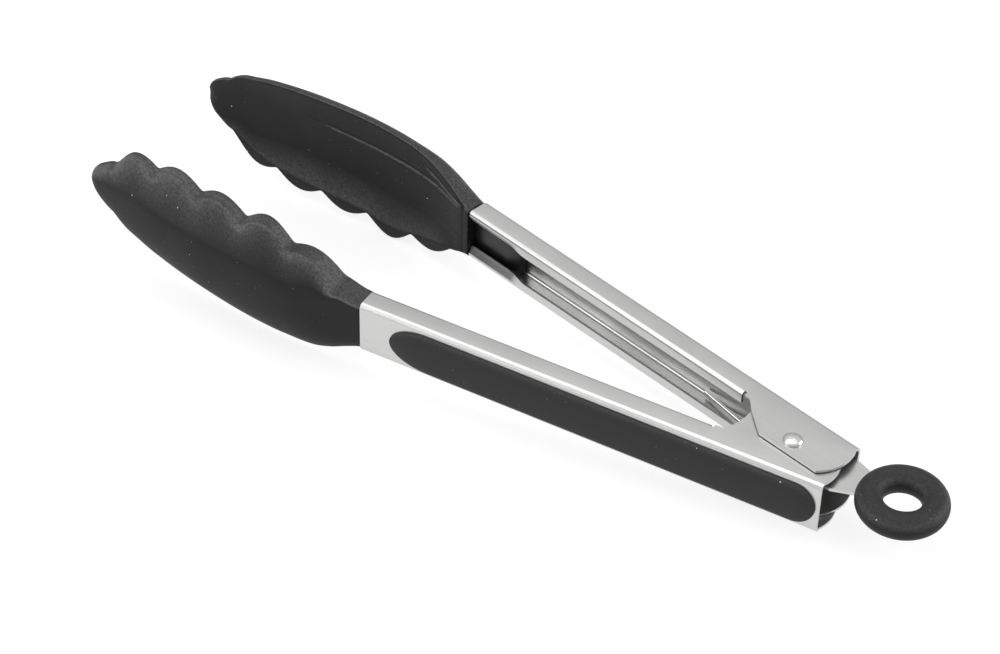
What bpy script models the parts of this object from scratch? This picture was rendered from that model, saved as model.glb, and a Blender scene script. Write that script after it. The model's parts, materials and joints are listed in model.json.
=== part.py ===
"""Spring loaded kitchen tongs, lying open on their side.

Two identical pressed steel arms, one turned over, swing on a rivet. A torsion spring round
the rivet holds them open. Each arm carries a rubber grip outside and a silicone head with a
nylon core. A flat lock strip with a pull ring slides on the rivet.

Arm frame, used for every piece of an arm: x runs from the pivot to the head, y from the pivot
outwards, z across the channel. Tongs frame: z is the rivet's axis and +x points to the ring.
"""
import math

import bmesh
import bpy
from mathutils import Matrix, Vector

MM = 0.001
GAP = 0.3 * MM                      # clearance between neighbouring pieces

# Arms: a channel of sheet steel with two lips, and an ear on each flange at the pivot
SHEET = 0.8 * MM
CHANNEL_H = 19.0 * MM               # over both flanges
FLANGE_W = 8.4 * MM
WEB_Y = 12.9 * MM                   # outer face of the web, from the pivot axis
HEAD_END = 143.0 * MM               # channel's end at the head, from the pivot axis
TAIL_END = -15.5 * MM
WEB_BEND = 1.9 * MM                 # outer bend radii
LIP_BEND = 1.4 * MM
LIP_STRAIGHT = 2.6 * MM
LIP_START = 24.4 * MM
CRIMP_FROM = 117.0 * MM             # the lips are crimped over the head's tang
CRIMP_TO = 126.0 * MM
CRIMP_ANGLE = math.radians(135)
STACK_SHIFT = (SHEET + GAP) / 2     # each arm sits this far off centre, so the ears interleave
OPEN_ANGLE = math.radians(8.0)      # each arm, from the centre line
EAR_ARC_X, EAR_ARC_Y, EAR_ARC_R = -3.4 * MM, 4.6 * MM, 13.6 * MM

# Grips
GRIP_FROM, GRIP_TO = -14.3 * MM, 132.0 * MM
GRIP_HALF = 7.4 * MM
GRIP_NOSE = 14.0 * MM               # length of its pointed end, towards the head
GRIP_EDGE, GRIP_CROWN = 0.5 * MM, 1.7 * MM

# Heads
HEAD_L = 116.4 * MM
SCALLOP_PITCH = 19.3 * MM
SCALLOP_END = 105.5 * MM            # last valley, beside the tip
SCALLOP_DEPTH = 4.6 * MM
WALL_DEPTH = 4.4 * MM               # depth to which the scallops stay full
DISH = 3.0 * MM
TIP_THICK = 3.6 * MM
RIM = [(0, 4.5), (12, 5.3), (25, 5.3), (45, 3.2), (70, -1.1), (95, -5.3), (116.4, -8.6)]
SCALLOP_EDGE = [(0, 9.4), (9, 11.7), (28, 16.9), (37, 19.1), (48, 18.1), (67, 17.9), (86, 17.2), (96, 14.8),
                (105.5, 9.7)]
PLAIN_EDGE = [(0, 10.0), (6, 12.6), (12, 15.9), (19, 18.8), (30, 20.8), (50, 21.4), (70, 20.4), (88, 18.0),
              (96, 15.6)]
CORE_L = 76.0 * MM
TANG_L = 19.5 * MM
TANG_HALF = 8.3 * MM

# Rivet, spring, lock
SHANK_R = 2.0 * MM
RIVET_HEAD_R, RIVET_HEAD_H = 3.05 * MM, 1.3 * MM
WIRE_R = 0.7 * MM
COIL_R = 5.0 * MM
COIL_TURNS = 5.5
COIL_LOW, COIL_HIGH = -6.3 * MM, 3.9 * MM
LEG_END_X, LEG_END_Y = 43.5 * MM, 10.9 * MM
TAB_TOP, TAB_THICK = 6.3 * MM, 1.0 * MM
LOCK_TRAVEL = 12.0 * MM
LOCK_SWING = math.radians(3.4)      # the strip hangs a little towards the rear arm
RING_X, RING_R, RING_TUBE = 37.3 * MM, 9.9 * MM, 4.25 * MM
RING_GRIP_X = 28.6 * MM             # end of the strip, inside the ring
SOCKET_HALF = 6.0 * MM              # half-width of the ring's socket for the strip


# ---------------------------------------------------------------- helpers
def clear_scene():
    for obj in list(bpy.data.objects):
        bpy.data.objects.remove(obj, do_unlink=True)


def material(name, colour, roughness, metallic=0.0):
    mat = bpy.data.materials.new(name)
    mat.use_nodes = True
    shader = mat.node_tree.nodes["Principled BSDF"]
    shader.inputs["Base Color"].default_value = (*colour, 1.0)
    shader.inputs["Roughness"].default_value = roughness
    shader.inputs["Metallic"].default_value = metallic
    return mat


def empty(name, parent=None, matrix=Matrix.Identity(4)):
    obj = bpy.data.objects.new(name, None)
    bpy.context.collection.objects.link(obj)
    obj.parent = parent
    obj.matrix_local = matrix
    return obj


def mesh_from_bmesh(name, bm, smooth_angle=35):
    mesh = bpy.data.meshes.new(name)
    bm.to_mesh(mesh)
    bm.free()
    mesh.shade_smooth()
    mesh.set_sharp_from_angle(angle=math.radians(smooth_angle))
    return mesh


def place(name, mesh, parent, mat):
    obj = bpy.data.objects.new(name, mesh)
    bpy.context.collection.objects.link(obj)
    obj.parent = parent
    if not mesh.materials:
        mesh.materials.append(mat)
    return obj


def subtract(obj, cutter):
    cutter.hide_render = True
    cutter.display_type = "WIRE"
    cut = obj.modifiers.new("cut_" + cutter.name, "BOOLEAN")
    cut.operation = "DIFFERENCE"
    cut.object = cutter


def loft(name, rings, smooth_angle=35):
    """A closed solid through rings of points; a ring of one point is a pole."""
    bm = bmesh.new()
    loops = [[bm.verts.new(p) for p in ring] for ring in rings]
    for low, high in zip(loops, loops[1:]):
        count = max(len(low), len(high))
        for i in range(count):
            j = (i + 1) % count
            corners = [low[i % len(low)], low[j % len(low)], high[j % len(high)], high[i % len(high)]]
            bm.faces.new(list(dict.fromkeys(corners)))
    for end in (loops[0], loops[-1]):
        if len(end) > 2:
            bm.faces.new(end)
    bmesh.ops.recalc_face_normals(bm, faces=bm.faces)
    return mesh_from_bmesh(name, bm, smooth_angle)


def prism(name, outline, low, high):
    """A flat outline of (x, y) points, given thickness along z."""
    return loft(name, [[Vector((x, y, z)) for x, y in outline] for z in (low, high)])


def arc(cx, cy, radius, start, end, steps):
    angles = [math.radians(start + (end - start) * i / steps) for i in range(steps + 1)]
    return [(cx + radius * math.cos(a), cy + radius * math.sin(a)) for a in angles]


def rounded(corners, steps=4):
    """An outline from (x, y, radius) corners in millimetres, each corner given its radius."""
    outline = []
    for i, (x, y, radius) in enumerate(corners):
        here = Vector((x, y))
        if not radius:
            outline.append((x * MM, y * MM))
            continue
        back = (Vector(corners[i - 1][:2]) - here).normalized()
        ahead = (Vector(corners[(i + 1) % len(corners)][:2]) - here).normalized()
        half = back.angle(ahead) / 2
        centre = here + (back + ahead).normalized() * radius / math.sin(half)
        first = here + back * radius / math.tan(half) - centre
        last = here + ahead * radius / math.tan(half) - centre
        turn = first.angle_signed(last)
        for k in range(steps + 1):
            spoke = first.copy()
            spoke.rotate(Matrix.Rotation(-turn * k / steps, 2))
            outline.append(((centre.x + spoke.x) * MM, (centre.y + spoke.y) * MM))
    return outline


def curve_value(points, x):
    """A smooth value between (x, value) points given in millimetres."""
    x = x / MM
    if x >= points[-1][0]:
        return points[-1][1] * MM
    i = max(k for k, point in enumerate(points) if point[0] <= x + 1e-9)
    (x0, y0), (x1, y1) = points[i], points[i + 1]
    before = points[i - 1] if i else (2 * x0 - x1, y0)
    after = points[i + 2] if i + 2 < len(points) else (2 * x1 - x0, y1)
    slope0 = (y1 - before[1]) / (x1 - before[0])
    slope1 = (after[1] - y0) / (after[0] - x0)
    t, run = (x - x0) / (x1 - x0), x1 - x0
    value = ((2 * t**3 - 3 * t**2 + 1) * y0 + (t**3 - 2 * t**2 + t) * run * slope0
             + (3 * t**2 - 2 * t**3) * y1 + (t**3 - t**2) * run * slope1)
    return value * MM


def smoothstep(x, low, high):
    t = min(max((x - low) / (high - low), 0.0), 1.0)
    return t * t * (3 - 2 * t)


# ---------------------------------------------------------------- arms
def lip_path(side, x):
    """Outer skin of one lip at x, from the flange's edge to the lip's free edge."""
    fold = math.pi / 2 + (CRIMP_ANGLE - math.pi / 2) * smoothstep(x, CRIMP_FROM, CRIMP_TO)
    y0, z0 = WEB_Y - FLANGE_W + LIP_BEND, CHANNEL_H / 2 - LIP_BEND
    path = []
    for k in range(1, 5):
        a = fold * k / 4
        path.append((y0 - LIP_BEND * math.sin(a), z0 + LIP_BEND * math.cos(a)))
    y, z = path[-1]
    path.append((y - LIP_STRAIGHT * math.cos(fold), z - LIP_STRAIGHT * math.sin(fold)))
    return [Vector((x, y, side * z)) for y, z in path]


def bend_path(side, x):
    """Outer skin from the web's flat to the flange's flat at x."""
    y0, z0 = WEB_Y - WEB_BEND, CHANNEL_H / 2 - WEB_BEND
    angles = [math.pi / 2 * k / 5 for k in range(6)]
    return [Vector((x, y0 + WEB_BEND * math.cos(a), side * (z0 + WEB_BEND * math.sin(a)))) for a in angles]


def ear_outline(outer_ear):
    """Flange edge from the lip's start round the ear to the web's tail end."""
    if outer_ear:
        far = -4.9
        step = [(23.4, 5.9, 0.3), (23.2, 4.6, 0.3), (21.3, 4.6, 0.9), (17.3, 0.9, 3.0), (9.3, far, 1.6)]
    else:
        far = -8.0
        step = [(23.4, 5.9, 0.3), (23.2, 4.6, 0.3), (20.4, 4.6, 1.6), (17.4, -1.0, 3.0), (16.4, far, 2.5)]
    reach = math.sqrt(EAR_ARC_R**2 - (far * MM - EAR_ARC_Y)**2)
    corner = (EAR_ARC_X - reach, far * MM)
    ends = [(24.4, 5.9, 0)] + step + [(corner[0] / MM, far, 0)]
    outline = rounded(ends)
    start = math.degrees(math.atan2(corner[1] - EAR_ARC_Y, corner[0] - EAR_ARC_X))
    web_edge = math.asin((WEB_Y - WEB_BEND - EAR_ARC_Y) / EAR_ARC_R)
    sweep = arc(EAR_ARC_X, EAR_ARC_Y, EAR_ARC_R, start, -180 - math.degrees(web_edge), 10)
    return outline + sweep[1:-1]


def arm_mesh():
    """The arm's outer skin; its thickness is added inwards by a modifier."""
    bm = bmesh.new()
    crimp = [CRIMP_FROM + (CRIMP_TO - CRIMP_FROM) * k / 6 for k in range(7)]
    stations = [TAIL_END, LIP_START] + crimp + [HEAD_END]

    def skin(paths):
        rows = [[bm.verts.new(p) for p in path] for path in paths]
        for near, far in zip(rows, rows[1:]):
            for k in range(len(near) - 1):
                bm.faces.new([near[k], near[k + 1], far[k + 1], far[k]])

    skin([bend_path(-1, x)[:1] + bend_path(1, x)[:1] for x in stations])
    for side in (-1, 1):
        skin([bend_path(side, x) for x in stations])
        edge_y = WEB_Y - FLANGE_W + LIP_BEND
        half = side * CHANNEL_H / 2
        skin([[bend_path(side, x)[-1], Vector((x, edge_y, half))] for x in stations[1:]])
        skin([[Vector((x, edge_y, half))] + lip_path(side, x) for x in stations[1:]])
        outline = [Vector((x, y, half)) for x, y in ear_outline(outer_ear=side < 0)]
        outline.append(bend_path(side, TAIL_END)[-1])
        outline.append(bend_path(side, LIP_START)[-1])
        bm.faces.new([bm.verts.new(p) for p in outline])
    bmesh.ops.remove_doubles(bm, verts=bm.verts, dist=0.01 * MM)
    bmesh.ops.recalc_face_normals(bm, faces=bm.faces)
    web = max(bm.faces, key=lambda face: face.calc_center_median().y)
    if web.normal.y < 0:
        bmesh.ops.reverse_faces(bm, faces=bm.faces)
    bmesh.ops.translate(bm, verts=bm.verts, vec=(0, 0, -STACK_SHIFT))
    return mesh_from_bmesh("arm", bm)


def make_arm(name, mesh, pivot, mat, hole):
    arm = place(name, mesh, pivot, mat)
    wall = arm.modifiers.new("sheet", "SOLIDIFY")
    wall.thickness = SHEET
    wall.offset = -1
    wall.use_even_offset = True
    subtract(arm, hole)


# ---------------------------------------------------------------- grips
def grip_outline(inset):
    """Half-heights of the grip along x: a long nose towards the head, a round end at the tail."""
    tail = GRIP_HALF - inset
    nose = GRIP_NOSE - inset
    steps = 8
    outline = []
    for k in range(steps + 1):
        a = math.pi / 2 * k / steps
        outline.append((GRIP_FROM + GRIP_HALF - tail * math.cos(a), tail * math.sin(a)))
    for k in range(steps + 1):
        a = math.pi / 2 * (1 - k / steps)
        outline.append((GRIP_TO - GRIP_NOSE + nose * math.cos(a), tail * math.sin(a)))
    return outline[:-1] + [(GRIP_TO - inset, 0.0)] + [(x, -z) for x, z in reversed(outline[1:-1])]


def grip_mesh():
    """A pad with a crowned back, lying along the web."""
    layers = [(0.0, 0.0), (0.0, GRIP_EDGE), (1.2, 1.2 * MM), (3.4, GRIP_CROWN)]
    base = WEB_Y + GAP
    rings = [[Vector((x, base + rise, z - STACK_SHIFT)) for x, z in grip_outline(inset * MM)]
             for inset, rise in layers]
    return loft("grip", rings)


# ---------------------------------------------------------------- heads
def rim_y(s):
    """Distance of the rim from the pivot line, s along the head."""
    return curve_value(RIM, s)


def back_y(s):
    """Outermost line of the back, meeting the rim at the tip with the tip's thickness."""
    drop = WEB_Y - rim_y(HEAD_L) - TIP_THICK
    return WEB_Y - drop * (s / HEAD_L) ** 2.2


def edge_half(points, s):
    """Half-width of one edge without scallops, rounding off to a blunt point at the tip."""
    last = points[-1][0] * MM
    if s <= last:
        return curve_value(points, s)
    run = (s - last) / (HEAD_L - last)
    return points[-1][1] * MM * math.sqrt(max(1 - run ** 1.35, 0.0))


def scallop(s):
    """Extra half-width of the scalloped edge."""
    first = SCALLOP_END - 5 * SCALLOP_PITCH
    if not first < s < SCALLOP_END:
        return 0.0
    return SCALLOP_DEPTH * abs(math.sin(math.pi * (s - first) / SCALLOP_PITCH)) ** 0.85


def head_ring(s):
    """One closed section of the head: round the back, then across the dished inner face."""
    rim, back = rim_y(s), back_y(s)
    close = math.sqrt(max(1 - max((s - 112 * MM) / (HEAD_L - 112 * MM), 0.0) ** 2, 0.0))
    depth = (back - rim) * close
    rim += (back - rim - depth) / 2
    square = 2.9 + 2.1 * (1 - smoothstep(s, 0, 30 * MM))
    top, bottom = edge_half(SCALLOP_EDGE, s), edge_half(PLAIN_EDGE, s)
    ring = []
    steps = 14
    for k in range(steps + 1):
        a = math.pi * k / steps
        across = math.copysign(abs(math.cos(a)) ** (2 / square), math.cos(a))
        out = depth * abs(math.sin(a)) ** (2 / square)
        fade = 1 - smoothstep(out, WALL_DEPTH, WALL_DEPTH + 4 * MM)
        half = top + scallop(s) * fade if across > 0 else bottom
        ring.append(Vector((s, rim + out, half * across)))
    dish = DISH * smoothstep(s, 4 * MM, 26 * MM) * (1 - smoothstep(s, 88 * MM, 110 * MM))
    for share in (-0.9, -0.7, -0.4, 0.0, 0.4, 0.7, 0.9):
        half = top + scallop(s) if share > 0 else bottom
        hollow = dish * smoothstep(1 - abs(share), 0.1, 0.6)
        ring.append(Vector((s, rim + hollow, half * share)))
    return ring


def head_mesh():
    """The silicone head, from the channel's end to the tip."""
    body = [HEAD_L * k / 38 for k in range(37)]
    tip = [HEAD_L - 6 * MM * math.cos(math.pi / 2 * k / 5) for k in range(1, 5)]
    stations = [s for s in body if s < tip[0] - 1 * MM] + tip
    rings = [head_ring(s) for s in stations]
    pole = (rim_y(HEAD_L) + back_y(HEAD_L)) / 2
    rings.append([Vector((HEAD_L, pole, 0.0))])
    shift = Vector((HEAD_END + GAP, 0, -STACK_SHIFT))
    return loft("head", [[p + shift for p in ring] for ring in rings], 50)


def core_mesh(grow):
    """The nylon core: a wedge-ended tang in the channel and a tapering blade in the head."""
    sections = [(-TANG_L, TANG_HALF, 10.2 * MM, 11.75 * MM),
                (-TANG_L + 5 * MM, TANG_HALF, 7.8 * MM, 11.75 * MM),
                (-0.6 * MM, TANG_HALF, 7.8 * MM, 11.75 * MM),
                (-0.3 * MM, 6.5 * MM, 8.0 * MM, 10.3 * MM)]
    for k in range(1, 9):
        s = CORE_L * k / 8
        middle = rim_y(s) + DISH + (back_y(s) - rim_y(s) - DISH) * 0.5
        sections.append((s, (6.5 - 3.5 * k / 8) * MM, middle - 1.1 * MM, middle + 1.1 * MM))
    if grow:
        sections = [(-3 * MM, 6.5 * MM, 8.0 * MM, 10.3 * MM)] + sections[4:]
        last = sections[-1]
        sections[-1] = (last[0] + grow, *last[1:])
    rings = []
    for s, half, low, high in sections:
        half, low, high = half + grow, low - grow, high + grow
        corners = [(low, -half), (low, half), (high, half), (high, -half)]
        rings.append([Vector((HEAD_END + GAP + s, y, z - STACK_SHIFT)) for y, z in corners])
    return loft("core", rings)


# ---------------------------------------------------------------- pivot, spring, lock
def rivet_mesh():
    """A shank with a domed head at each end, turned about z."""
    seat = CHANNEL_H / 2 + STACK_SHIFT + GAP
    dome = [(RIVET_HEAD_R * math.cos(a), seat + 0.4 * MM + (RIVET_HEAD_H - 0.4 * MM) * math.sin(a))
            for a in (0.0, 0.35, 0.75, 1.15)]
    half = [(SHANK_R, 0.0), (SHANK_R, seat), (RIVET_HEAD_R, seat)] + dome
    profile = [(r, -z) for r, z in reversed(half[1:])] + half[1:]
    rings = [[Vector((0, 0, profile[0][1] - 0.08 * MM))]]
    for r, z in profile:
        rings.append([Vector((x, y, z)) for x, y in arc(0, 0, r, 0, 360, 24)[:-1]])
    rings.append([Vector((0, 0, profile[-1][1] + 0.08 * MM))])
    return loft("rivet", rings)


def leg_points(side, height):
    """Free end and coil end of one leg, straight and tangent to the coil, in the tongs frame."""
    turn = OPEN_ANGLE
    end = Vector((-LEG_END_X * math.cos(turn) + LEG_END_Y * math.sin(turn),
                  side * (LEG_END_X * math.sin(turn) + LEG_END_Y * math.cos(turn))))
    bearing = math.atan2(end.y, end.x)
    touch = bearing - side * math.acos(COIL_R / end.length)
    start = Vector((math.cos(touch), math.sin(touch))) * COIL_R
    return end.to_3d() + Vector((0, 0, height)), start.to_3d() + Vector((0, 0, height)), touch


def spring_curve():
    """The torsion spring: rear leg, coil clockwise from below, front leg."""
    rear_end, rear_start, first = leg_points(1, COIL_LOW)
    front_end, front_start, last = leg_points(-1, COIL_HIGH)
    sweep = (first - last) % math.tau + math.tau * math.floor(COIL_TURNS)
    points = [rear_end.lerp(rear_start, k / 4) for k in range(4)]
    steps = 120
    for k in range(steps + 1):
        a = first - sweep * k / steps
        z = COIL_LOW + (COIL_HIGH - COIL_LOW) * k / steps
        points.append(Vector((COIL_R * math.cos(a), COIL_R * math.sin(a), z)))
    points += [front_start.lerp(front_end, k / 4) for k in range(1, 5)]
    curve = bpy.data.curves.new("spring", "CURVE")
    curve.dimensions = "3D"
    spline = curve.splines.new("POLY")
    spline.points.add(len(points) - 1)
    for point, place_at in zip(spline.points, points):
        point.co = (*place_at, 1.0)
    curve.bevel_depth = WIRE_R
    curve.bevel_resolution = 2
    curve.use_fill_caps = True
    return curve


def tab_outline():
    """The lock strip: stop end, wings beside the rivet, a taper out to the ring."""
    side = [(-19.0, 4.6, 2.0), (-9.5, 5.6, 1.5), (-8.0, 9.5, 1.2), (-2.5, 9.5, 2.0), (3.0, 8.6, 3.0),
            (17.4, 7.9, 2.0), (23.4, 5.6, 3.0), (RING_GRIP_X / MM, 5.0, 0.8)]
    return rounded(side + [(x, -y, r) for x, y, r in reversed(side)])


def slot_outline():
    """Slot round the rivet, long enough for the lock's travel."""
    r = SHANK_R + GAP
    return arc(0, 0, r, -90, 90, 10) + arc(-LOCK_TRAVEL, 0, r, 90, 270, 10)


def ring_mesh():
    rings = []
    turns, sides = 40, 16
    bm = bmesh.new()
    for i in range(turns):
        a = math.tau * i / turns
        ring = []
        for j in range(sides):
            b = math.tau * j / sides
            r = RING_R + RING_TUBE * math.cos(b)
            ring.append(bm.verts.new((RING_X + r * math.cos(a), r * math.sin(a),
                                      TAB_TOP - TAB_THICK / 2 + RING_TUBE * math.sin(b))))
        rings.append(ring)
    for i in range(turns):
        for j in range(sides):
            near, far = rings[i], rings[(i + 1) % turns]
            bm.faces.new([near[j], far[j], far[(j + 1) % sides], near[(j + 1) % sides]])
    bmesh.ops.recalc_face_normals(bm, faces=bm.faces)
    return mesh_from_bmesh("ring", bm, 60)


# ---------------------------------------------------------------- pose
def resting_turn(arms):
    """Rotation that lays the tongs on the rear head's scallops, the front head's plain edge
    and the rivet's lower head."""
    scallop_s, plain_s = SCALLOP_END - 1.5 * SCALLOP_PITCH, 44 * MM
    rear = Vector((HEAD_END + GAP + scallop_s, rim_y(scallop_s) + WALL_DEPTH / 2,
                   edge_half(SCALLOP_EDGE, scallop_s) + SCALLOP_DEPTH - STACK_SHIFT))
    front = Vector((HEAD_END + GAP + plain_s, rim_y(plain_s) + WALL_DEPTH / 2,
                    -edge_half(PLAIN_EDGE, plain_s) - STACK_SHIFT))
    rivet = Vector((0, 0, -CHANNEL_H / 2 - STACK_SHIFT - GAP - RIVET_HEAD_H))
    a, b, c = arms["rear"] @ rear, arms["front"] @ front, rivet
    up = (b - a).cross(c - a).normalized()
    if up.z < 0:
        up.negate()
    return up.rotation_difference(Vector((0, 0, 1))).to_matrix().to_4x4()


def centre_on_origin(root):
    """Move the tongs so that their box stands on z = 0, centred over the origin."""
    bpy.context.view_layer.update()
    graph = bpy.context.evaluated_depsgraph_get()
    points = []
    for obj in bpy.data.objects:
        if obj.type in {"MESH", "CURVE"} and not obj.hide_render:
            shape = obj.evaluated_get(graph)
            mesh = shape.to_mesh()
            points += [obj.matrix_world @ v.co for v in mesh.vertices]
            shape.to_mesh_clear()
    low = Vector([min(p[k] for p in points) for k in range(3)])
    high = Vector([max(p[k] for p in points) for k in range(3)])
    root.location -= Vector(((low.x + high.x) / 2, (low.y + high.y) / 2, low.z))


def main():
    clear_scene()
    steel = material("stainless_steel", (0.62, 0.62, 0.61), 0.28, 1.0)
    bright = material("rivet_steel", (0.75, 0.75, 0.74), 0.18, 1.0)
    wire = material("spring_wire", (0.6, 0.6, 0.6), 0.22, 1.0)
    rubber = material("grip_rubber", (0.03, 0.03, 0.031), 0.55)
    silicone = material("black_silicone", (0.035, 0.035, 0.036), 0.6)
    nylon = material("black_nylon", (0.02, 0.02, 0.02), 0.45)

    arms = {"front": Matrix.Rotation(math.pi + OPEN_ANGLE, 4, "Z"),
            "rear": Matrix.Rotation(math.pi - OPEN_ANGLE, 4, "Z") @ Matrix.Rotation(math.pi, 4, "X")}
    tongs = empty("tongs", matrix=resting_turn(arms))
    lock = empty("lock", tongs, Matrix.Rotation(LOCK_SWING, 4, "Z"))

    long = CHANNEL_H
    bore = arc(0, 0, SHANK_R + GAP, 0, 360, 24)[:-1]
    hole = place("rivet_bore", prism("rivet_bore", bore, -long, long), tongs, steel)
    channel, pad, shell = arm_mesh(), grip_mesh(), head_mesh()
    core, pocket = core_mesh(0.0), core_mesh(GAP)
    for side, matrix in arms.items():
        pivot = empty(side + "_arm_pivot", tongs, matrix)
        make_arm(side + "_arm", channel, pivot, steel, hole)
        place(side + "_grip", pad, pivot, rubber)
        place(side + "_head_core", core, pivot, nylon)
        head = place(side + "_head", shell, pivot, silicone)
        subtract(head, place(side + "_core_pocket", pocket, pivot, nylon))

    place("pivot_rivet", rivet_mesh(), tongs, bright)
    spring = bpy.data.objects.new("torsion_spring", spring_curve())
    bpy.context.collection.objects.link(spring)
    spring.parent = tongs
    spring.data.materials.append(wire)

    tab = place("lock_tab", prism("lock_tab", tab_outline(), TAB_TOP - TAB_THICK, TAB_TOP), lock, steel)
    subtract(tab, place("rivet_slot", prism("rivet_slot", slot_outline(), 0, long), lock, steel))
    ring = place("pull_ring", ring_mesh(), lock, silicone)
    near, far, half = 20 * MM, RING_GRIP_X + GAP, SOCKET_HALF
    seat = [(near, half), (near, -half), (far, -half), (far, half)]
    socket = prism("tab_socket", seat, TAB_TOP - TAB_THICK - GAP, TAB_TOP + GAP)
    subtract(ring, place("tab_socket", socket, lock, steel))
    centre_on_origin(tongs)


main()
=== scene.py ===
"""Looks of the spring loaded kitchen tongs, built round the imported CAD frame.

Every shown piece is a fine mesh in one of two frames that come from the CAD joints:
the tongs frame (z is the rivet's axis, +x points to the pull ring) and, for each arm, the
arm frame (x from the pivot to the head, y from the pivot outwards, z across the channel).
"""

import math

import bmesh
import bpy
from mathutils import Matrix, Vector, noise
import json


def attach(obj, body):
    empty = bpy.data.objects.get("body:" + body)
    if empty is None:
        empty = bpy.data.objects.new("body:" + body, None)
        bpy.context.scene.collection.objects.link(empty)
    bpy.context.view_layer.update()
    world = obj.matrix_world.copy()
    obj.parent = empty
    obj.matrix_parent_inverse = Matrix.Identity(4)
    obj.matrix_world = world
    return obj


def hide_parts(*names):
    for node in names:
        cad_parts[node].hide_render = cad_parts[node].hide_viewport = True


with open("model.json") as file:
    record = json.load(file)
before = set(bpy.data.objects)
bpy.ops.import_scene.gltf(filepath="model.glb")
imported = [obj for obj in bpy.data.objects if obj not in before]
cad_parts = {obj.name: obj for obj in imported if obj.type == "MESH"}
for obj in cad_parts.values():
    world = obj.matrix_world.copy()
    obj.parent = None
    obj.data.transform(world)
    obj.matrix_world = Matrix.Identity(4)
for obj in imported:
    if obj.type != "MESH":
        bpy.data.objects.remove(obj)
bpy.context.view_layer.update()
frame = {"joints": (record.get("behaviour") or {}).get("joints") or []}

MM = 0.001

# Sizes in millimetres. They are the CAD part's, but for the crimp's angle, the grip's height and the plain
# edge's end, which are finer here.
SHEET = 0.8
GAP = 0.3
CHANNEL_H = 19.0
FLANGE_W = 8.4
WEB_Y = 12.9
HEAD_START = 143.3
CHANNEL_END = 143.0
TAIL_END = -15.5
WEB_BEND, LIP_BEND = 1.9, 1.4
LIP_STRAIGHT, LIP_START = 2.6, 24.4
CRIMP_FROM, CRIMP_TO, CRIMP_ANGLE = 117.0, 126.0, math.radians(119)
STACK_SHIFT = 0.55
OPEN_ANGLE = math.radians(8.0)
LOCK_SWING = math.radians(3.4)
EAR_ARC = (-3.4, 4.6, 13.6)
GRIP_FROM, GRIP_TO, GRIP_HALF, GRIP_NOSE = -14.3, 132.0, 7.4, 14.0
GRIP_EDGE, GRIP_CROWN = 0.6, 1.9
HEAD_L = 116.4
SCALLOP_PITCH, SCALLOP_END, SCALLOP_DEPTH = 19.3, 105.5, 4.6
TIP_THICK = 3.6
RIM = [(0, 4.5), (12, 5.3), (25, 5.3), (45, 3.2), (70, -1.1), (95, -5.3), (116.4, -8.6)]
SCALLOP_EDGE = [(0, 9.4), (9, 11.7), (28, 16.9), (37, 19.1), (48, 18.1), (67, 17.9), (86, 17.2), (96, 14.8),
                (105.5, 9.7)]
PLAIN_EDGE = [(0, 10.0), (6, 12.6), (12, 15.9), (19, 18.8), (30, 20.8), (50, 21.4), (70, 20.4), (88, 18.0),
              (96, 16.0), (100, 15.0), (103, 13.4), (106.5, 10.9)]
SHANK_R, RIVET_HEAD_R, RIVET_HEAD_H = 2.0, 3.05, 1.3
WIRE_R, COIL_R, COIL_TURNS = 0.7, 5.0, 5.5
COIL_LOW, COIL_HIGH = -6.3, 3.9
LEG_END_X, LEG_END_Y = 43.5, 10.9
TAB_TOP, TAB_THICK, LOCK_TRAVEL = 6.3, 1.0, 12.0
RING_X, RING_R, RING_TUBE = 37.3, 9.9, 4.25

# The head's finer shape
WALL = [(0, 7.2), (12, 5.6), (25, 4.1), (45, 3.7), (65, 3.1), (80, 2.4), (95, 1.5), (116.4, 1.0)]
WALL_DRAFT = [(0, 0.3), (4, 1.0), (8, 2.2), (12, 3.9), (15.5, 3.2), (19, 2.0), (26, 1.5), (65, 1.6), (80, 1.3),
              (95, 0.6), (116.4, 0.3)]
BULGE = [(0, 0.0), (12, 0.3), (28, 1.2), (45, 0.8), (60, 0.4), (80, 0.2), (116.4, 0.0)]
SHOULDER = [(0, 1.9), (10, 3.0), (18, 9.0), (28, 15.5), (45, 17.0), (80, 16.0), (116.4, 8.0)]
SHOULDER_POWER = 2.4
DISH = [(0, 0.0), (6, 0.3), (20, 2.6), (45, 3.8), (80, 3.6), (100, 2.0), (112, 0.6), (116.4, 0.2)]
RIM_ROUND = 0.8
EDGE_SHARE, EDGE_LAG = 0.92, 0.6    # how much of the scallops the wall's outer edge keeps, and how far on
PILLOW = 10.0                       # width over which they fade into the back
LOWER_CREASE = -8.0                 # height of the inner face's long ridge
FULL_DROP = WEB_Y - RIM[-1][1] - TIP_THICK
ROUND_FROM = 112                    # the tip rounds off from here
TANG = [(-19.5, 8.6, 10.3, 11.9), (-18.9, 8.75, 9.4, 12.0), (-14.5, 8.75, 7.9, 12.0), (-0.2, 8.75, 7.9, 12.0),
        (0.0, 6.5, 8.2, 10.3), (12.0, 5.5, 9.2, 10.4), (24.0, 4.0, 9.4, 10.4)]

# Edges rounded in the visual model only, and the spring's wire path
CHANNEL_ROUNDING, STRIP_ROUNDING = 0.14, 0.15
COIL_STEPS, LEG_OVERLAP = 420, 8    # a leg lies along this many of the coil's steps
OWN_FRAME = "own_frame_mm"          # each point's place in its piece's own frame, for the textures


# ---------------------------------------------------------------- frames
def axes_matrix(x, y, z, origin):
    """The frame with those axes at that origin."""
    m = Matrix((x, y, z)).transposed().to_4x4()
    m.translation = origin
    return m


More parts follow.
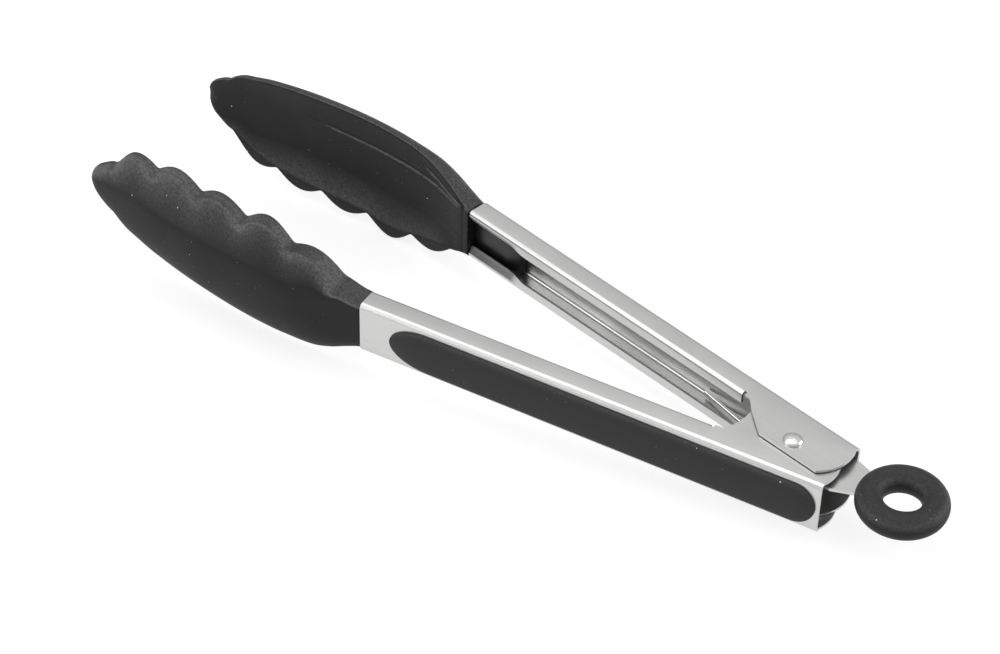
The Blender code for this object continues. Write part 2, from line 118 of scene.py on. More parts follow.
def tongs_frame():
    """The tongs frame in the row frame, from the rear arm's hinge and the lock's slide."""
    joints = {j["name"]: j for j in frame["joints"]}
    hinge = joints["rear_arm_close"]
    z = Vector(hinge["axis"]).normalized()
    x = Matrix.Rotation(-LOCK_SWING, 3, z) @ Vector(joints["lock_pull"]["axis"]).normalized()
    x = (x - z * x.dot(z)).normalized()
    return axes_matrix(x, z.cross(x), z, Vector(hinge["pos_m"]))


TONGS = tongs_frame() @ Matrix.Scale(MM, 4)
ARM = {"front": TONGS @ Matrix.Rotation(math.pi + OPEN_ANGLE, 4, "Z"),
       "rear": TONGS @ Matrix.Rotation(math.pi - OPEN_ANGLE, 4, "Z") @ Matrix.Rotation(math.pi, 4, "X")}
LOCK = TONGS @ Matrix.Rotation(LOCK_SWING, 4, "Z")


# ---------------------------------------------------------------- helpers
def curve_value(points, x):
    """A smooth value between (x, value) points."""
    if x >= points[-1][0]:
        return points[-1][1]
    i = max(k for k, point in enumerate(points) if point[0] <= x + 1e-9)
    (x0, y0), (x1, y1) = points[i], points[i + 1]
    before = points[i - 1] if i else (2 * x0 - x1, y0)
    after = points[i + 2] if i + 2 < len(points) else (2 * x1 - x0, y1)
    slope0 = (y1 - before[1]) / (x1 - before[0])
    slope1 = (after[1] - y0) / (after[0] - x0)
    t, run = (x - x0) / (x1 - x0), x1 - x0
    return ((2 * t**3 - 3 * t**2 + 1) * y0 + (t**3 - 2 * t**2 + t) * run * slope0
            + (3 * t**2 - 2 * t**3) * y1 + (t**3 - t**2) * run * slope1)


def smoothstep(x, low, high):
    """0 below low, 1 above high, smooth between."""
    t = min(max((x - low) / (high - low), 0.0), 1.0)
    return t * t * (3 - 2 * t)


def arc(cx, cy, radius, start, end, steps):
    angles = [math.radians(start + (end - start) * i / steps) for i in range(steps + 1)]
    return [(cx + radius * math.cos(a), cy + radius * math.sin(a)) for a in angles]


def rounded(corners, steps=8):
    """An outline from (x, y, radius) corners, each corner given its radius."""
    outline = []
    for i, (x, y, radius) in enumerate(corners):
        here = Vector((x, y))
        if not radius:
            outline.append((x, y))
            continue
        back = (Vector(corners[i - 1][:2]) - here).normalized()
        ahead = (Vector(corners[(i + 1) % len(corners)][:2]) - here).normalized()
        half = back.angle(ahead) / 2
        centre = here + (back + ahead).normalized() * radius / math.sin(half)
        first = here + back * radius / math.tan(half) - centre
        last = here + ahead * radius / math.tan(half) - centre
        turn = first.angle_signed(last)
        for k in range(steps + 1):
            spoke = first.copy()
            spoke.rotate(Matrix.Rotation(-turn * k / steps, 2))
            outline.append((centre.x + spoke.x, centre.y + spoke.y))
    return outline


def finished_mesh(name, bm, sharp_angle):
    """A mesh with its faces pointing out, smooth but for edges sharper than the angle."""
    bmesh.ops.recalc_face_normals(bm, faces=bm.faces)
    mesh = bpy.data.meshes.new(name)
    bm.to_mesh(mesh)
    bm.free()
    mesh.shade_smooth()
    mesh.set_sharp_from_angle(angle=math.radians(sharp_angle))
    return mesh


def loft(name, rings, sharp_angle=35):
    """A closed solid through rings of points; a ring of one point is a pole."""
    bm = bmesh.new()
    loops = [[bm.verts.new(p) for p in ring] for ring in rings]
    for low, high in zip(loops, loops[1:]):
        count = max(len(low), len(high))
        for i in range(count):
            j = (i + 1) % count
            corners = [low[i % len(low)], low[j % len(low)], high[j % len(high)], high[i % len(high)]]
            bm.faces.new(list(dict.fromkeys(corners)))
    for end in (loops[0], loops[-1]):
        if len(end) > 2:
            bm.faces.new(end)
    return finished_mesh(name, bm, sharp_angle)


def loose_object(name, data):
    obj = bpy.data.objects.new(name, data)
    bpy.context.scene.collection.objects.link(obj)
    return obj


def evaluated_mesh(obj):
    """The object's mesh with its modifiers applied; the object is removed."""
    bpy.context.view_layer.update()
    shape = bpy.data.meshes.new_from_object(obj.evaluated_get(bpy.context.evaluated_depsgraph_get()))
    bpy.data.objects.remove(obj)
    return shape


def cut(mesh, cutter_mesh):
    """The mesh with the cutter taken out of it, and its large faces split into triangles."""
    obj, cutter = loose_object("cut_piece", mesh), loose_object("cutter", cutter_mesh)
    boolean = obj.modifiers.new("cut", "BOOLEAN")
    boolean.operation = "DIFFERENCE"
    boolean.object = cutter
    shape = evaluated_mesh(obj)
    bpy.data.objects.remove(cutter)
    bm = bmesh.new()
    bm.from_mesh(shape)
    bmesh.ops.triangulate(bm, faces=[f for f in bm.faces if len(f.verts) > 4])
    bm.to_mesh(shape)
    bm.free()
    return shape


def place(name, mesh, matrix, body, mats, replaced=None):
    """A piece set into the row frame from its own frame, riding on its CAD body."""
    own = mesh.attributes.new(OWN_FRAME, "FLOAT_VECTOR", "POINT")
    own.data.foreach_set("vector", [c for v in mesh.vertices for c in v.co])
    mesh.transform(matrix)
    mesh.materials.clear()
    for mat in mats:
        mesh.materials.append(mat)
    obj = loose_object(name, mesh)
    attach(obj, body)
    if replaced:
        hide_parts(replaced)
    return obj


def round_edges(obj, width, angle=50, segments=2):
    """Rounds a piece's sharp edges by a width in millimetres."""
    bevel = obj.modifiers.new("edge_rounding", "BEVEL")
    bevel.width = width * MM
    bevel.segments = segments
    bevel.limit_method = "ANGLE"
    bevel.angle_limit = math.radians(angle)


# ---------------------------------------------------------------- materials
class Nodes:
    """A material's node tree, with short calls to add and join nodes."""

    def __init__(self, name):
        self.material = bpy.data.materials.new(name)
        self.material.use_nodes = True
        self.tree = self.material.node_tree
        self.shader = self.tree.nodes["Principled BSDF"]
        self.place = self.add("ShaderNodeAttribute", attribute_name=OWN_FRAME).outputs["Vector"]

    def add(self, kind, **settings):
        node = self.tree.nodes.new(kind)
        for key, value in settings.items():
            setattr(node, key, value)
        return node

    def join(self, source, target):
        self.tree.links.new(source, target)

    def stretched(self, scale):
        """The piece's own coordinates, in mm, scaled by (x, y, z)."""
        mapping = self.add("ShaderNodeMapping")
        mapping.inputs["Scale"].default_value = scale
        self.join(self.place, mapping.inputs["Vector"])
        return mapping.outputs["Vector"]

    def noise(self, scale, detail=3.0, stretch=(1, 1, 1), roughness=0.5):
        node = self.add("ShaderNodeTexNoise")
        node.inputs["Scale"].default_value = scale
        node.inputs["Detail"].default_value = detail
        node.inputs["Roughness"].default_value = roughness
        self.join(self.stretched(stretch), node.inputs["Vector"])
        return node.outputs["Fac"]

    def range(self, value, low, high, to_low, to_high):
        node = self.add("ShaderNodeMapRange")
        for key, number in zip(("From Min", "From Max", "To Min", "To Max"), (low, high, to_low, to_high)):
            node.inputs[key].default_value = number
        self.join(value, node.inputs["Value"])
        return node.outputs["Result"]

    def math(self, operation, a, b):
        node = self.add("ShaderNodeMath", operation=operation)
        for socket, value in zip(node.inputs, (a, b)):
            if isinstance(value, (int, float)):
                socket.default_value = value
            else:
                self.join(value, socket)
        return node.outputs[0]

    def mix(self, factor, a, b):
        """A colour between a and b; each is a colour or a socket."""
        node = self.add("ShaderNodeMix", data_type="RGBA")
        self.join(factor, node.inputs["Factor"])
        for socket, value in ((node.inputs[6], a), (node.inputs[7], b)):
            if isinstance(value, tuple):
                socket.default_value = (*value, 1.0)
            else:
                self.join(value, socket)
        return node.outputs[2]

    def bump(self, height, distance, strength):
        node = self.add("ShaderNodeBump")
        node.inputs["Distance"].default_value = distance
        node.inputs["Strength"].default_value = strength
        self.join(height, node.inputs["Height"])
        return node.outputs["Normal"]

    def set(self, **sockets):
        for key, value in sockets.items():
            socket = self.shader.inputs[key.replace("_", " ")]
            if isinstance(value, (int, float)):
                socket.default_value = value
            elif isinstance(value, tuple):
                socket.default_value = (*value, 1.0)
            else:
                self.join(value, socket)


def dust(n, cell, radius, share):
    """A mask of small round specks: one to a cell of that size in mm, in a share of the cells."""
    cells = n.add("ShaderNodeTexVoronoi")
    cells.inputs["Scale"].default_value = 1 / cell
    cells.inputs["Randomness"].default_value = 1.0
    n.join(n.place, cells.inputs["Vector"])
    near = n.math("LESS_THAN", cells.outputs["Distance"], radius / cell)
    split = n.add("ShaderNodeSeparateColor")
    n.join(cells.outputs["Color"], split.inputs["Color"])
    chosen = n.math("LESS_THAN", split.outputs["Red"], share)
    return n.math("MULTIPLY", near, chosen)


def silicone(name, colour, painted_top_highlight, roughness):
    """Moulded silicone or rubber: matte, finely grained, with a little dust, and a painted highlight that makes
    faces tilting upward paler.
    """
    n = Nodes(name)
    cloud = n.noise(0.06, 4)
    grain = n.noise(3.0, 3)
    mottle = n.range(n.noise(1.3, 4), 0.35, 0.65, 0.62, 1.3)
    split = n.add("ShaderNodeSeparateXYZ")
    n.join(n.add("ShaderNodeNewGeometry").outputs["Normal"], split.inputs["Vector"])
    # painted highlight: faces tilting upward get a paler colour, less on the flattest top faces, broken up in
    # patches
    upward_highlight = n.math("MULTIPLY", n.range(split.outputs["Z"], 0.18, 0.58, 0.0, 1.0),
                    n.range(split.outputs["Z"], 0.66, 0.88, 1.0, 0.45))
    patchy_highlight = n.math("MULTIPLY", n.math("MULTIPLY", upward_highlight, mottle), n.range(cloud, 0.3, 0.7, 0.75, 1.0))
    tone = n.mix(patchy_highlight, colour, tuple(painted_top_highlight * c for c in (1.0, 1.0, 0.99)))
    specks = dust(n, 5.5, 0.2, 0.5)
    fine = dust(n, 2.2, 0.13, 0.45)
    marks = n.math("MAXIMUM", specks, n.math("MULTIPLY", fine, 0.3))
    n.set(Base_Color=n.mix(marks, tone, (0.7, 0.7, 0.69)),
          Roughness=n.range(cloud, 0.3, 0.7, roughness - 0.03, roughness + 0.03),
          Specular_IOR_Level=0.24,
          Normal=n.bump(grain, 0.00003, 0.7))
    return n.material


def steel(name, colour, roughness, streak=1.0):
    """Satin stainless steel, brushed along x, with faint smudges and handling marks."""
    n = Nodes(name)
    brushed = n.noise(1.0, 4, (0.05, 5.0, 5.0), 0.6)
    broad = n.noise(1.0, 2, (0.01, 0.7, 0.7))
    smudge = n.noise(0.045, 3)
    scratch = n.noise(1.0, 2, (0.12, 9.0, 9.0), 0.4)
    tone = n.mix(n.range(broad, 0.3, 0.7, 0.0, 1.0), colour, tuple(c * 1.04 for c in colour))
    mark = n.range(scratch, 0.7, 0.78, 0.0, 0.25)
    rough = n.math("ADD", n.range(smudge, 0.35, 0.7, roughness - 0.03, roughness + 0.05),
                   n.math("MULTIPLY", n.math("SUBTRACT", brushed, 0.5), 0.10 * streak))
    n.set(Base_Color=n.mix(mark, tone, tuple(c * 0.88 for c in colour)),
          Metallic=1.0,
          Roughness=rough,
          Normal=n.bump(brushed, 0.000005 * streak, 0.5))
    return n.material


def nylon(name):
    """Moulded black nylon, slightly glossy."""
    n = Nodes(name)
    grain = n.noise(3.0, 2)
    n.set(Base_Color=n.mix(n.noise(0.1, 3), (0.005, 0.005, 0.005), (0.009, 0.009, 0.009)),
          Roughness=n.range(grain, 0.3, 0.7, 0.34, 0.42),
          Normal=n.bump(grain, 0.00001, 0.4))
    return n.material


# ---------------------------------------------------------------- arms
def lip_path(side, x):
    """Outer skin of one lip at x, from the flange's edge to the lip's free edge."""
    fold = math.pi / 2 + (CRIMP_ANGLE - math.pi / 2) * smoothstep(x, CRIMP_FROM, CRIMP_TO)
    y0, z0 = WEB_Y - FLANGE_W + LIP_BEND, CHANNEL_H / 2 - LIP_BEND
    steps = 10
    path = [(y0 - LIP_BEND * math.sin(fold * k / steps), z0 + LIP_BEND * math.cos(fold * k / steps))
            for k in range(1, steps + 1)]
    y, z = path[-1]
    path.append((y - LIP_STRAIGHT * math.cos(fold), z - LIP_STRAIGHT * math.sin(fold)))
    return [Vector((x, y, side * z)) for y, z in path]


def bend_path(side, x):
    """Outer skin from the web's flat to the flange's flat at x."""
    y0, z0 = WEB_Y - WEB_BEND, CHANNEL_H / 2 - WEB_BEND
    angles = [math.pi / 2 * k / 12 for k in range(13)]
    return [Vector((x, y0 + WEB_BEND * math.cos(a), side * (z0 + WEB_BEND * math.sin(a)))) for a in angles]


def ear_outline(outer_ear):
    """Flange edge from the lip's start round the ear to the web's tail end."""
    if outer_ear:
        far = -4.9
        step = [(23.4, 5.9, 0.3), (23.2, 4.6, 0.3), (21.3, 4.6, 0.9), (17.3, 0.9, 3.0), (9.3, far, 1.6)]
    else:
        far = -8.0
        step = [(23.4, 5.9, 0.3), (23.2, 4.6, 0.3), (20.4, 4.6, 1.6), (17.4, -1.0, 3.0), (16.4, far, 2.5)]
    arc_x, arc_y, arc_r = EAR_ARC
    reach = math.sqrt(arc_r**2 - (far - arc_y)**2)
    outline = rounded([(24.4, 5.9, 0)] + step + [(arc_x - reach, far, 0)])
    start = math.degrees(math.atan2(far - arc_y, -reach))
    web_edge = math.degrees(math.asin((WEB_Y - WEB_BEND - arc_y) / arc_r))
    return outline + arc(arc_x, arc_y, arc_r, start, -180 - web_edge, 28)[1:-1]


def arm_skin():
    """The arm's outer skin; its thickness is added inwards by a modifier."""
    bm = bmesh.new()
    crimp = [CRIMP_FROM + (CRIMP_TO - CRIMP_FROM) * k / 16 for k in range(17)]
    stations = [TAIL_END, LIP_START] + crimp + [CHANNEL_END]

    def skin(paths):
        rows = [[bm.verts.new(p) for p in path] for path in paths]
        for near, far in zip(rows, rows[1:]):
            for k in range(len(near) - 1):
                bm.faces.new([near[k], near[k + 1], far[k + 1], far[k]])

    skin([bend_path(-1, x)[:1] + bend_path(1, x)[:1] for x in stations])
    for side in (-1, 1):
        edge_y = WEB_Y - FLANGE_W + LIP_BEND
        half = side * CHANNEL_H / 2
        skin([bend_path(side, x) for x in stations])
        skin([[bend_path(side, x)[-1], Vector((x, edge_y, half))] for x in stations[1:]])
        skin([[Vector((x, edge_y, half))] + lip_path(side, x) for x in stations[1:]])
        outline = [Vector((x, y, half)) for x, y in ear_outline(outer_ear=side < 0)]
        outline.append(bend_path(side, TAIL_END)[-1])
        outline.append(bend_path(side, LIP_START)[-1])
        bm.faces.new([bm.verts.new(p) for p in outline])
    bmesh.ops.remove_doubles(bm, verts=bm.verts, dist=0.01)
    bmesh.ops.recalc_face_normals(bm, faces=bm.faces)
    web = max(bm.faces, key=lambda face: face.calc_center_median().y)
    if web.normal.y < 0:
        bmesh.ops.reverse_faces(bm, faces=bm.faces)
    bmesh.ops.translate(bm, verts=bm.verts, vec=(0, 0, -STACK_SHIFT))
    mesh = bpy.data.meshes.new("arm_skin")
    bm.to_mesh(mesh)
    bm.free()
    return mesh


def arm_mesh():
    """The channel: the skin with its sheet's thickness, bored for the rivet."""
    solid = loose_object("arm", arm_skin())
    sheet = solid.modifiers.new("sheet", "SOLIDIFY")
    sheet.thickness = SHEET
    sheet.offset = -1
    sheet.use_even_offset = True
    sheet.material_offset = 1
    circle = arc(0, 0, SHANK_R + GAP, 0, 360, 48)[:-1]
    bore = loft("bore", [[Vector((x, y, z)) for x, y in circle] for z in (-CHANNEL_H, CHANNEL_H)])
    for _ in range(2):
        solid.data.materials.append(None)
    mesh = cut(evaluated_mesh(solid), bore)
    mesh.shade_smooth()
    mesh.set_sharp_from_angle(angle=math.radians(30))
    return mesh


# ---------------------------------------------------------------- grips
def grip_mesh():
    """A crowned pad along the web: round at the tail, pointed towards the head."""
    tail, nose = GRIP_FROM + GRIP_HALF, GRIP_TO - GRIP_NOSE
    outline = [(tail - GRIP_HALF * math.cos(a), GRIP_HALF * math.sin(a), tail)
               for a in (math.pi / 2 * k / 20 for k in range(1, 21))]
    outline += [(tail + (nose - tail) * k / 40, GRIP_HALF, None) for k in range(1, 40)]
    outline += [(nose + GRIP_NOSE * math.sin(a), GRIP_HALF * math.cos(a), nose)
                for a in (math.pi / 2 * k / 24 for k in range(24))]
    points = [(GRIP_FROM, 0.0, tail)] + outline + [(GRIP_TO, 0.0, nose)]
    points += [(x, -z, foot) for x, z, foot in reversed(outline)]
    layers = [(0.0, 0.0), (0.0, GRIP_EDGE * 0.7)]
    layers += [(1 - math.cos(a), GRIP_EDGE * 0.7 + (GRIP_CROWN - GRIP_EDGE * 0.7) * math.sin(a) ** 0.8)
               for a in (math.pi / 2 * k / 18 for k in range(1, 19))]
    bm = bmesh.new()
    rings = []
    for share, rise in layers:
        ring = []
        for x, z, foot in points:
            base = x if foot is None else foot
            ring.append(bm.verts.new((base + (x - base) * (1 - share), WEB_Y - 0.05 + rise,
                                      z * (1 - share) - STACK_SHIFT)))
        rings.append(ring)
    count = len(points)
    for low, high in zip(rings, rings[1:]):
        for i in range(count):
            j = (i + 1) % count
            bm.faces.new([low[i], low[j], high[j], high[i]])
    bm.faces.new(rings[0])
    bmesh.ops.remove_doubles(bm, verts=bm.verts, dist=0.002)
    return finished_mesh("grip_pad", bm, 50)


# ---------------------------------------------------------------- heads
def edge_half(points, s):
    """Half-width of one edge without scallops, rounding off to a blunt point at the tip."""
    last = points[-1][0]
    if s <= last:
        return curve_value(points, s)
    run = (s - last) / (HEAD_L - last)
    return points[-1][1] * math.sqrt(max(1 - run ** 1.35, 0.0))


def scallop(s, sharp=0.13, power=0.9):
    """Extra half-width of the scalloped edge: round bumps with small rounded valleys."""
    first = SCALLOP_END - 5 * SCALLOP_PITCH
    wave = math.sin(math.pi * (s - first) / SCALLOP_PITCH) ** 2 if first < s < SCALLOP_END else 0.0
    ends = smoothstep(s, first - 7, first) * (1 - smoothstep(s, SCALLOP_END, SCALLOP_END + 6))
    return SCALLOP_DEPTH * ((wave + sharp**2) / (1 + sharp**2)) ** (power / 2) * ends


def ridge_height(s, z):
    """Moulding ridges on the inner face: three creases that meet at the neck, and the base rim."""
    def crease(centre, height, width):
        return height * math.exp(-((z - centre) / width) ** 2)

    rise = crease(LOWER_CREASE, 0.6 * smoothstep(s, 2, 6) * (1 - smoothstep(s, 60, 78)), 0.4)
    rise += crease(upper_crease(s), 0.6 * smoothstep(s, 2, 6) * (1 - smoothstep(s, 20, 28)), 0.4)
    rise += crease(4.0 + 0.05 * s, 0.14 * smoothstep(s, 3, 8) * (1 - smoothstep(s, 20, 36)), 0.6)
    rise += 0.5 * (1 - smoothstep(s, 1.7, 2.3)) - 0.25 * math.exp(-((s - 2.9) / 0.5) ** 2)
    return rise


def upper_crease(s):
    """Height of the inner face's short ridge."""
    return -8.8 - 5.6 * smoothstep(s, 0, 34)


def inner_y(s, z, rim, top, bottom):
    """Height of the inner face: dished between the edges, with its ridges."""
    half = top if z > 0 else bottom
    across = min(abs(z) / half, 1.0)
    dish = curve_value(DISH, s) * (1 - across ** 2) ** 0.9
    return rim + dish - ridge_height(s, z)


def head_ring(s):
    """One closed section: scalloped wall, shoulder and back, plain wall, then the inner face."""
    rim = curve_value(RIM, s)
    back = WEB_Y - FULL_DROP * (s / HEAD_L) ** 2.2 + curve_value(BULGE, s)
    close = math.sqrt(max(1 - max((s - ROUND_FROM) / (HEAD_L - ROUND_FROM), 0.0) ** 2, 0.0))
    depth = (back - rim) * close
    rim += (back - rim - depth) / 2
    plain = edge_half(PLAIN_EDGE, s)
    valley = edge_half(SCALLOP_EDGE, s)
    peak = valley + scallop(s)
    fillet = min(RIM_ROUND, depth * 0.3, plain * 0.3)
    wall = min(curve_value(WALL, s), depth * 0.75)
    length = min(curve_value(SHOULDER, s), valley * 0.9)
    ring = []
    for k in range(6):
        a = math.pi / 2 * k / 6
        ring.append((rim + fillet * (1 - math.cos(a)), peak - fillet * (1 - math.sin(a))))
    crisp = EDGE_SHARE * scallop(s - EDGE_LAG)
    soft = EDGE_SHARE * scallop(s - EDGE_LAG, 0.6, 1.0)
    base = valley - min(curve_value(WALL_DRAFT, s), valley * 0.3)
    edge = base + crisp
    for k in range(6):
        ring.append((rim + fillet + (wall - fillet - 0.3) * k / 5, peak + (edge - peak) * smoothstep(k, -1, 6)))
    steps = 26
    for k in range(1, steps + 1):
        run = base * (k / steps) ** 1.5
        rise = 1 - (1 - min(run / length, 1.0)) ** SHOULDER_POWER
        fade = 1 - smoothstep(run, -1.0, PILLOW)
        wave = crisp + (soft - crisp) * smoothstep(run, 0, 3.5)
        ring.append((rim + wall + (depth - wall) * rise, base - run + wave * fade))
    square = 2.35 + 2.65 * (1 - smoothstep(s, 0, 30))
    steps = 30
    for k in range(1, steps):
        a = math.pi / 2 * (1 - k / steps)
        ring.append((rim + depth * math.sin(a) ** (2 / square), -plain * math.cos(a) ** (2 / square)))
    ring = [p for p in ring if p[0] > rim + fillet or p[1] > 0]
    for k in range(7):
        a = math.pi / 2 * (1 - k / 6)
        ring.append((rim + fillet * (1 - math.sin(a)), -plain + fillet * (1 - math.cos(a))))
    low, high = -plain + fillet, peak - fillet
    across = [low + (high - low) * k / 48 for k in range(1, 48)]
    for centre in (LOWER_CREASE, upper_crease(s)):
        across += [max(min(centre + 0.3 * k, high - 0.01), low + 0.01) for k in range(-3, 4)]
    for z in sorted(across):
        ring.append((inner_y(s, z, rim, valley, plain), z))
    return ring


def head_mesh():
    """The silicone head, from the channel's end to the tip."""
    body = [HEAD_L * k / 210 for k in range(211)]
    tip = [HEAD_L - 4 * math.cos(math.pi / 2 * k / 10) for k in range(1, 10)]
    stations = [s for s in body if s < tip[0] - 0.4] + tip
    sections = [head_ring(s) for s in stations]
    rings = [[Vector((HEAD_START + s, y, z - STACK_SHIFT)) for y, z in ring]
             for s, ring in zip(stations, sections)]
    end = rings[-1]
    pole = sum(end, Vector()) / len(end)
    rings.append([Vector((HEAD_START + HEAD_L, pole.y, pole.z))])
    return loft("head", rings, 60)


def core_mesh():
    """The nylon tang: a block between the flanges with a wedge-shaped end, running into the head."""
    rings = []
    for s, half, low, high in TANG:
        corners = [(low, -half, 0.5), (low, half, 0.5), (high, half, 0.5), (high, -half, 0.5)]
        rings.append([Vector((HEAD_START + s, y, z - STACK_SHIFT)) for y, z in rounded(corners, 5)])
    return loft("core", rings, 40)


# ---------------------------------------------------------------- pivot, spring, lock
def rivet_mesh():
    """A shank with a hammered dome at each end, turned about z."""
    seat = CHANNEL_H / 2 + STACK_SHIFT + 0.02
    dome = [(RIVET_HEAD_R * math.cos(a), seat + 0.35 + (RIVET_HEAD_H + 0.2 - 0.35) * math.sin(a))
            for a in (math.pi / 2 * k / 14 for k in range(14))]
    half = [(SHANK_R, 0.0), (SHANK_R, seat), (RIVET_HEAD_R * 0.97, seat)] + dome
    profile = [(r, -z) for r, z in reversed(half[1:])] + half[1:]
    rings = []
    for r, z in profile:
        ring = []
        for x, y in arc(0, 0, r, 0, 360, 64)[:-1]:
            dent = 0.0
            if abs(z) > seat + 0.4:
                dent = 0.05 * noise.noise(Vector((x * 0.9, y * 0.9, math.copysign(3.0, z))))
            ring.append(Vector((x, y, z + dent * math.copysign(1.0, z))))
        rings.append(ring)
    top = profile[-1][1]
    rings.insert(0, [Vector((0, 0, -top - 0.01))])
    rings.append([Vector((0, 0, top + 0.01))])
    return loft("rivet", rings, 50)


def leg_points(side, height):
    """Free end and coil end of one leg, tangent to the coil, and the coil end's bearing."""
    turn = OPEN_ANGLE
    end = Vector((-LEG_END_X * math.cos(turn) + LEG_END_Y * math.sin(turn),
                  side * (LEG_END_X * math.sin(turn) + LEG_END_Y * math.cos(turn))))
    touch = math.atan2(end.y, end.x) - side * math.acos(COIL_R / end.length)
    start = Vector((math.cos(touch), math.sin(touch))) * COIL_R
    return Vector((*end, height)), Vector((*start, height)), touch


def wire(name, points):
    """A round wire through the points, with closed ends."""
    curve = bpy.data.curves.new(name, "CURVE")
    curve.dimensions = "3D"
    spline = curve.splines.new("POLY")
    spline.points.add(len(points) - 1)
    for point, place_at in zip(spline.points, points):
        point.co = (*place_at, 1.0)
    curve.bevel_depth = WIRE_R
    curve.bevel_resolution = 5
    curve.use_fill_caps = True
    mesh = evaluated_mesh(loose_object(name, curve))
    mesh.shade_smooth()
    return mesh


def make_spring(mat):
    """The coil stays on the rivet; each leg moves with its arm and overlaps the coil's end."""
    rear_end, rear_start, first = leg_points(1, COIL_LOW)
    front_end, front_start, last = leg_points(-1, COIL_HIGH)
    sweep = (first - last) % math.tau + math.tau * math.floor(COIL_TURNS)

    def coil_point(share):
        a = first - sweep * share
        return Vector((COIL_R * math.cos(a), COIL_R * math.sin(a), COIL_LOW + (COIL_HIGH - COIL_LOW) * share))

    coil = wire("spring_coil", [coil_point(k / COIL_STEPS) for k in range(COIL_STEPS + 1)])
    overlap = [k / COIL_STEPS for k in range(1, LEG_OVERLAP + 1)]
    rear = [rear_end.lerp(rear_start, k / 12) for k in range(13)] + [coil_point(k) for k in overlap]
    front = [front_end.lerp(front_start, k / 12) for k in range(13)] + [coil_point(1 - k) for k in overlap]
    place("spring_coil", coil, TONGS, "pivot", [mat], "torsion_spring")
    for side, path in (("rear", rear), ("front", front)):
        leg = wire(side + "_leg", path)
        place(side + "_spring_leg", leg, TONGS, side + "_arm_assembly", [mat])


def tab_outline():
    """The lock strip: stop end, wings beside the rivet, a taper out to the ring."""
    side = [(-19.0, 4.6, 2.0), (-9.5, 5.6, 1.5), (-8.0, 9.5, 1.2), (-2.5, 9.5, 2.0), (3.0, 8.6, 3.0),
            (17.4, 7.9, 2.0), (23.4, 5.6, 3.0), (28.6, 5.0, 0.8)]
    return rounded(side + [(x, -y, r) for x, y, r in reversed(side)])


def strip_mesh():
    """The lock strip with its slot for the rivet."""
    outline = tab_outline()
    r = SHANK_R + GAP
    slot = arc(0, 0, r, -90, 90, 20) + arc(-LOCK_TRAVEL, 0, r, 90, 270, 20)
    faces = (TAB_TOP - TAB_THICK, TAB_TOP)
    strip = loft("lock_strip", [[Vector((x, y, z)) for x, y in outline] for z in faces])
    return cut(strip, loft("slot", [[Vector((x, y, z)) for x, y in slot] for z in (0, CHANNEL_H)]))


def ring_mesh():
    """The pull ring: a torus round the strip's end."""
    turns, sides = 120, 48
    bm = bmesh.new()
    rings = []
    for i in range(turns):
        a = math.tau * i / turns
        ring = []
        for j in range(sides):
            b = math.tau * j / sides
            r = RING_R + RING_TUBE * math.cos(b)
            ring.append(bm.verts.new((RING_X + r * math.cos(a), r * math.sin(a),
                                      TAB_TOP - TAB_THICK / 2 + RING_TUBE * math.sin(b))))
        rings.append(ring)
    for i in range(turns):
        for j in range(sides):
            near, far = rings[i], rings[(i + 1) % turns]
            bm.faces.new([near[j], far[j], far[(j + 1) % sides], near[(j + 1) % sides]])
    return finished_mesh("ring", bm, 60)


# ---------------------------------------------------------------- studio
def make_camera():
    camera = bpy.data.cameras.new("camera")
    camera.sensor_width = 36.0
    camera.lens = 104.39
    camera.clip_start = 0.01
    obj = loose_object("camera", camera)
    back = Vector((0.4815502, -0.5862166, 0.6515056))
    up = Vector((-0.3762894, 0.5330762, 0.7577837))
    obj.matrix_world = axes_matrix(up.cross(back), up, back, Vector((0.436305, -0.539051, 0.613864)))
    bpy.context.scene.camera = obj


def area_light(name, place_at, aim, size, watts):
    light = bpy.data.lights.new(name, "AREA")
    light.shape = "RECTANGLE"
    light.size, light.size_y = size
    light.energy = watts
    obj = loose_object(name, light)
    obj.location = place_at
    obj.rotation_euler = (Vector(aim) - Vector(place_at)).to_track_quat("-Z", "Y").to_euler()


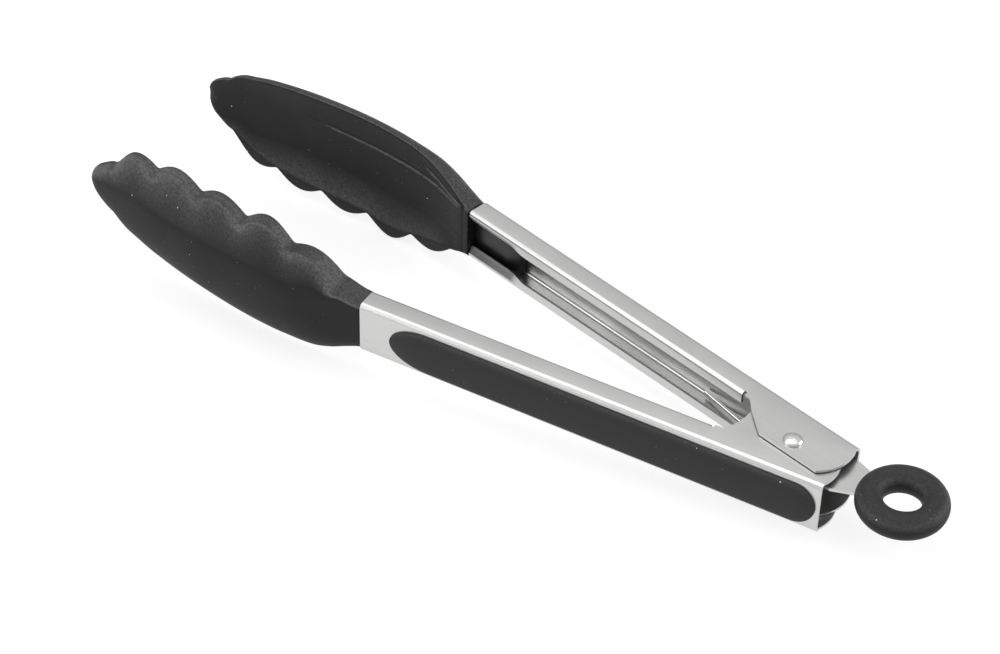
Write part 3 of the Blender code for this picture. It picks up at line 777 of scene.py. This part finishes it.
def make_studio():
    """A white floor, a pale surround that falls off overhead, and soft boxes."""
    bm = bmesh.new()
    bmesh.ops.create_grid(bm, x_segments=1, y_segments=1, size=3.0)
    floor = loose_object("floor", finished_mesh("floor", bm, 30))
    n = Nodes("floor")
    n.set(Base_Color=n.mix(n.noise(3.0, 2), (0.3, 0.3, 0.3), (0.31, 0.31, 0.31)),
          Roughness=0.7,
          Specular_IOR_Level=0.1,
          Emission_Color=(1.0, 1.0, 1.0),
          Emission_Strength=0.74)
    floor.data.materials.append(n.material)

    world = bpy.data.worlds.new("studio")
    bpy.context.scene.world = world
    world.use_nodes = True
    tree = world.node_tree
    background = tree.nodes["Background"]
    coords = tree.nodes.new("ShaderNodeTexCoord")
    split = tree.nodes.new("ShaderNodeSeparateXYZ")
    ramp = tree.nodes.new("ShaderNodeValToRGB")
    tree.links.new(coords.outputs["Generated"], split.inputs["Vector"])
    tree.links.new(split.outputs["Z"], ramp.inputs["Fac"])
    tree.links.new(ramp.outputs["Color"], background.inputs["Color"])
    stops = [(0.0, 0.45), (0.2, 0.42), (0.62, 0.7), (0.85, 0.8), (1.0, 0.8)]
    elements = ramp.color_ramp.elements
    while len(elements) < len(stops):
        elements.new(0.5)
    for element, (position, value) in zip(elements, stops):
        element.position = position
        element.color = (value, value, value, 1.0)
    background.inputs["Strength"].default_value = 1.0
    area_light("top_box", (-0.2, 0.1, 1.8), (0, 0, 0), (1.6, 1.4), 13.0)
    area_light("left_box", (-1.3, -1.3, 1.45), (0, 0, 0), (1.3, 0.9), 9.0)
    area_light("low_strip", (-0.8, -1.7, 0.75), (0, 0, 0), (1.6, 0.45), 4.0)
    area_light("right_box", (1.4, 1.1, 0.75), (0, 0, 0), (1.4, 1.0), 14.0)
    bpy.context.scene.view_settings.view_transform = "Standard"


# ---------------------------------------------------------------- the tongs
def main():
    satin = steel("satin_steel", (0.57, 0.57, 0.565), 0.33)
    polished = steel("inside_steel", (0.72, 0.72, 0.715), 0.18, 0.4)
    bright = steel("rivet_steel", (0.72, 0.72, 0.71), 0.2, 0.3)
    wire_steel = steel("spring_steel", (0.7, 0.7, 0.7), 0.16, 0.5)
    # the third number given to silicone() is the colour of the painted highlight on upward-tilted faces
    rubber = silicone("grip_rubber", (0.022, 0.022, 0.0222), 0.045, 0.62)
    soft_black = silicone("head_silicone", (0.003, 0.003, 0.0031), 0.1, 0.55)
    black = nylon("core_nylon")

    for side in ("front", "rear"):
        body = side + "_arm_assembly"
        pieces = [("channel", arm_mesh(), [satin, polished], "stainless_steel", "arm"),
                  ("grip_pad", grip_mesh(), [rubber], "grip_rubber", "grip"),
                  ("head_shell", head_mesh(), [soft_black], "black_silicone", "head"),
                  ("head_tang", core_mesh(), [black], "black_nylon", "head_core")]
        for name, mesh, mats, slot, node in pieces:
            piece = place(side + "_" + name, mesh, ARM[side], body, mats, side + "_" + node)
            if name == "channel":
                round_edges(piece, CHANNEL_ROUNDING)

    place("rivet", rivet_mesh(), TONGS, "pivot", [bright], "pivot_rivet")
    make_spring(wire_steel)
    strip = place("lock_strip", strip_mesh(), LOCK, "lock", [satin], "lock_tab")
    round_edges(strip, STRIP_ROUNDING)
    # the third number is the colour of the painted highlight on the ring's upward-tilted faces
    ring_black = silicone("ring_silicone", (0.010, 0.010, 0.0101), 0.045, 0.55)
    place("ring", ring_mesh(), LOCK, "lock", [ring_black], "pull_ring")
    make_camera()
    make_studio()


main()
